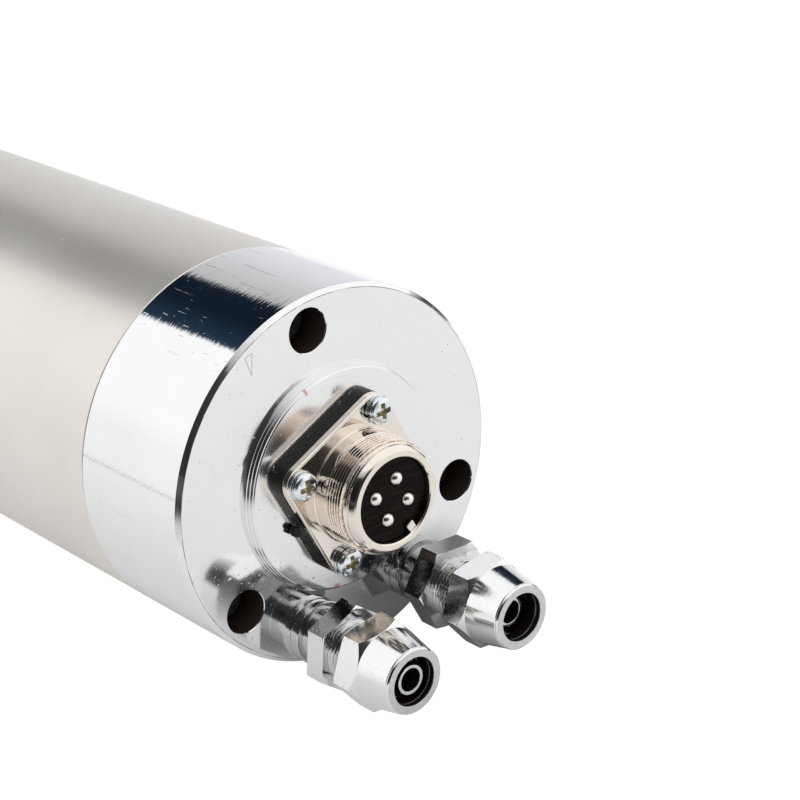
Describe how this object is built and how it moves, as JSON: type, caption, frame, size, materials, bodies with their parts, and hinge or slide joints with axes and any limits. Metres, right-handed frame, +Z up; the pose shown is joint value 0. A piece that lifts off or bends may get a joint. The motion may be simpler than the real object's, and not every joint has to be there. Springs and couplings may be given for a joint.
{
  "type": "water-cooled motor spindle",
  "caption": "Water-cooled router spindle: smooth round steel body, collet nose in front, square-flange power connector and clamping hose fittings on the polished rear face.",
  "frame": {"origin": "on the spindle axis at the front end of the clamped steel sleeve", "axes": "+X along the spindle axis towards the rear face, -X towards the tool; +Z up; both hose fittings hang on the -Z side"},
  "size_m": [0.2913, 0.08, 0.0821],
  "materials": {
    "sleeve_steel": "satin, turned and polished along the body",
    "polished_aluminium": "mirror polished with fine turning rings",
    "housing_steel": "ground",
    "core_aluminium": "machined",
    "shaft_steel": "ground",
    "collet_steel": "ground",
    "bearing_steel": "polished",
    "lamination_iron": "stacked sheet",
    "winding_copper": "varnished wire",
    "lead_sleeving": "silicone sleeving",
    "black_rubber": "moulded",
    "connector_nickel": "warm nickel plate over a die casting",
    "insert_plastic": "dark brown moulding with a faint grain",
    "silver_plate": "silver plated",
    "zinc_plate": "bright zinc",
    "black_oxide": "black oxide",
    "fitting_chrome": "chrome plate with worn corners"
  },
  "bodies": {
    "base": {"outer_sleeve": "sleeve_steel", "rear_cap": "polished_aluminium", "front_housing": "housing_steel", "front_cover": "housing_steel", "bearing_plate": "housing_steel", "jacket_core": "core_aluminium", "front_outer_races": "bearing_steel", "rear_outer_race": "bearing_steel", "preload_spring": "bearing_steel", "stator_core": "lamination_iron", "stator_windings": "winding_copper", "motor_leads": "lead_sleeving", "gasket": "black_rubber", "jacket_seals": "black_rubber", "connector_shell": "connector_nickel", "insulator": "insert_plastic", "contact_pins": "silver_plate", "flange_screws": "zinc_plate", "lock_washers": "zinc_plate", "cap_screws": "black_oxide", "housing_screws": "black_oxide", "cover_screws": "black_oxide", "inlet_body": "fitting_chrome", "outlet_body": "fitting_chrome", "sealing_rings": "fitting_chrome"},
    "rotor": {"shaft": "shaft_steel", "lock_nut": "shaft_steel", "rotor_core": "lamination_iron", "rotor_rings": "core_aluminium", "front_inner_races": "bearing_steel", "rear_inner_race": "bearing_steel", "front_balls": "bearing_steel", "rear_balls": "bearing_steel"},
    "collet_body": {"collet": "collet_steel"},
    "collet_nut_body": {"collet_nut": "collet_steel"},
    "inlet_nut_body": {"inlet_nut": "fitting_chrome"},
    "outlet_nut_body": {"outlet_nut": "fitting_chrome"}
  },
  "joints": [
    {"name": "shaft_spin", "type": "hinge", "parent": "base", "child": "rotor", "pos_m": [0, 0, 0], "axis": [1, 0, 0], "continuous": true},
    {"name": "collet_slide", "type": "slide", "parent": "rotor", "child": "collet_body", "axis": [-1, 0, 0], "range_m": [0, 0.003]},
    {"name": "collet_nut_turn", "type": "hinge", "parent": "collet_body", "child": "collet_nut_body", "pos_m": [-0.036, 0, 0], "axis": [-1, 0, 0], "range_deg": [0, 720]},
    {"name": "inlet_nut_turn", "type": "hinge", "parent": "base", "child": "inlet_nut_body", "pos_m": [0.2366, -0.00658, -0.03234], "axis": [1, 0, 0], "range_deg": [0, 180]},
    {"name": "outlet_nut_turn", "type": "hinge", "parent": "base", "child": "outlet_nut_body", "pos_m": [0.2389, 0.02018, -0.02611], "axis": [1, 0, 0], "range_deg": [0, 180]}
  ],
  "couplings": [
    {"joint": "collet_nut_turn", "follows": "collet_slide", "rad_per_m": 4188.8}
  ]
}
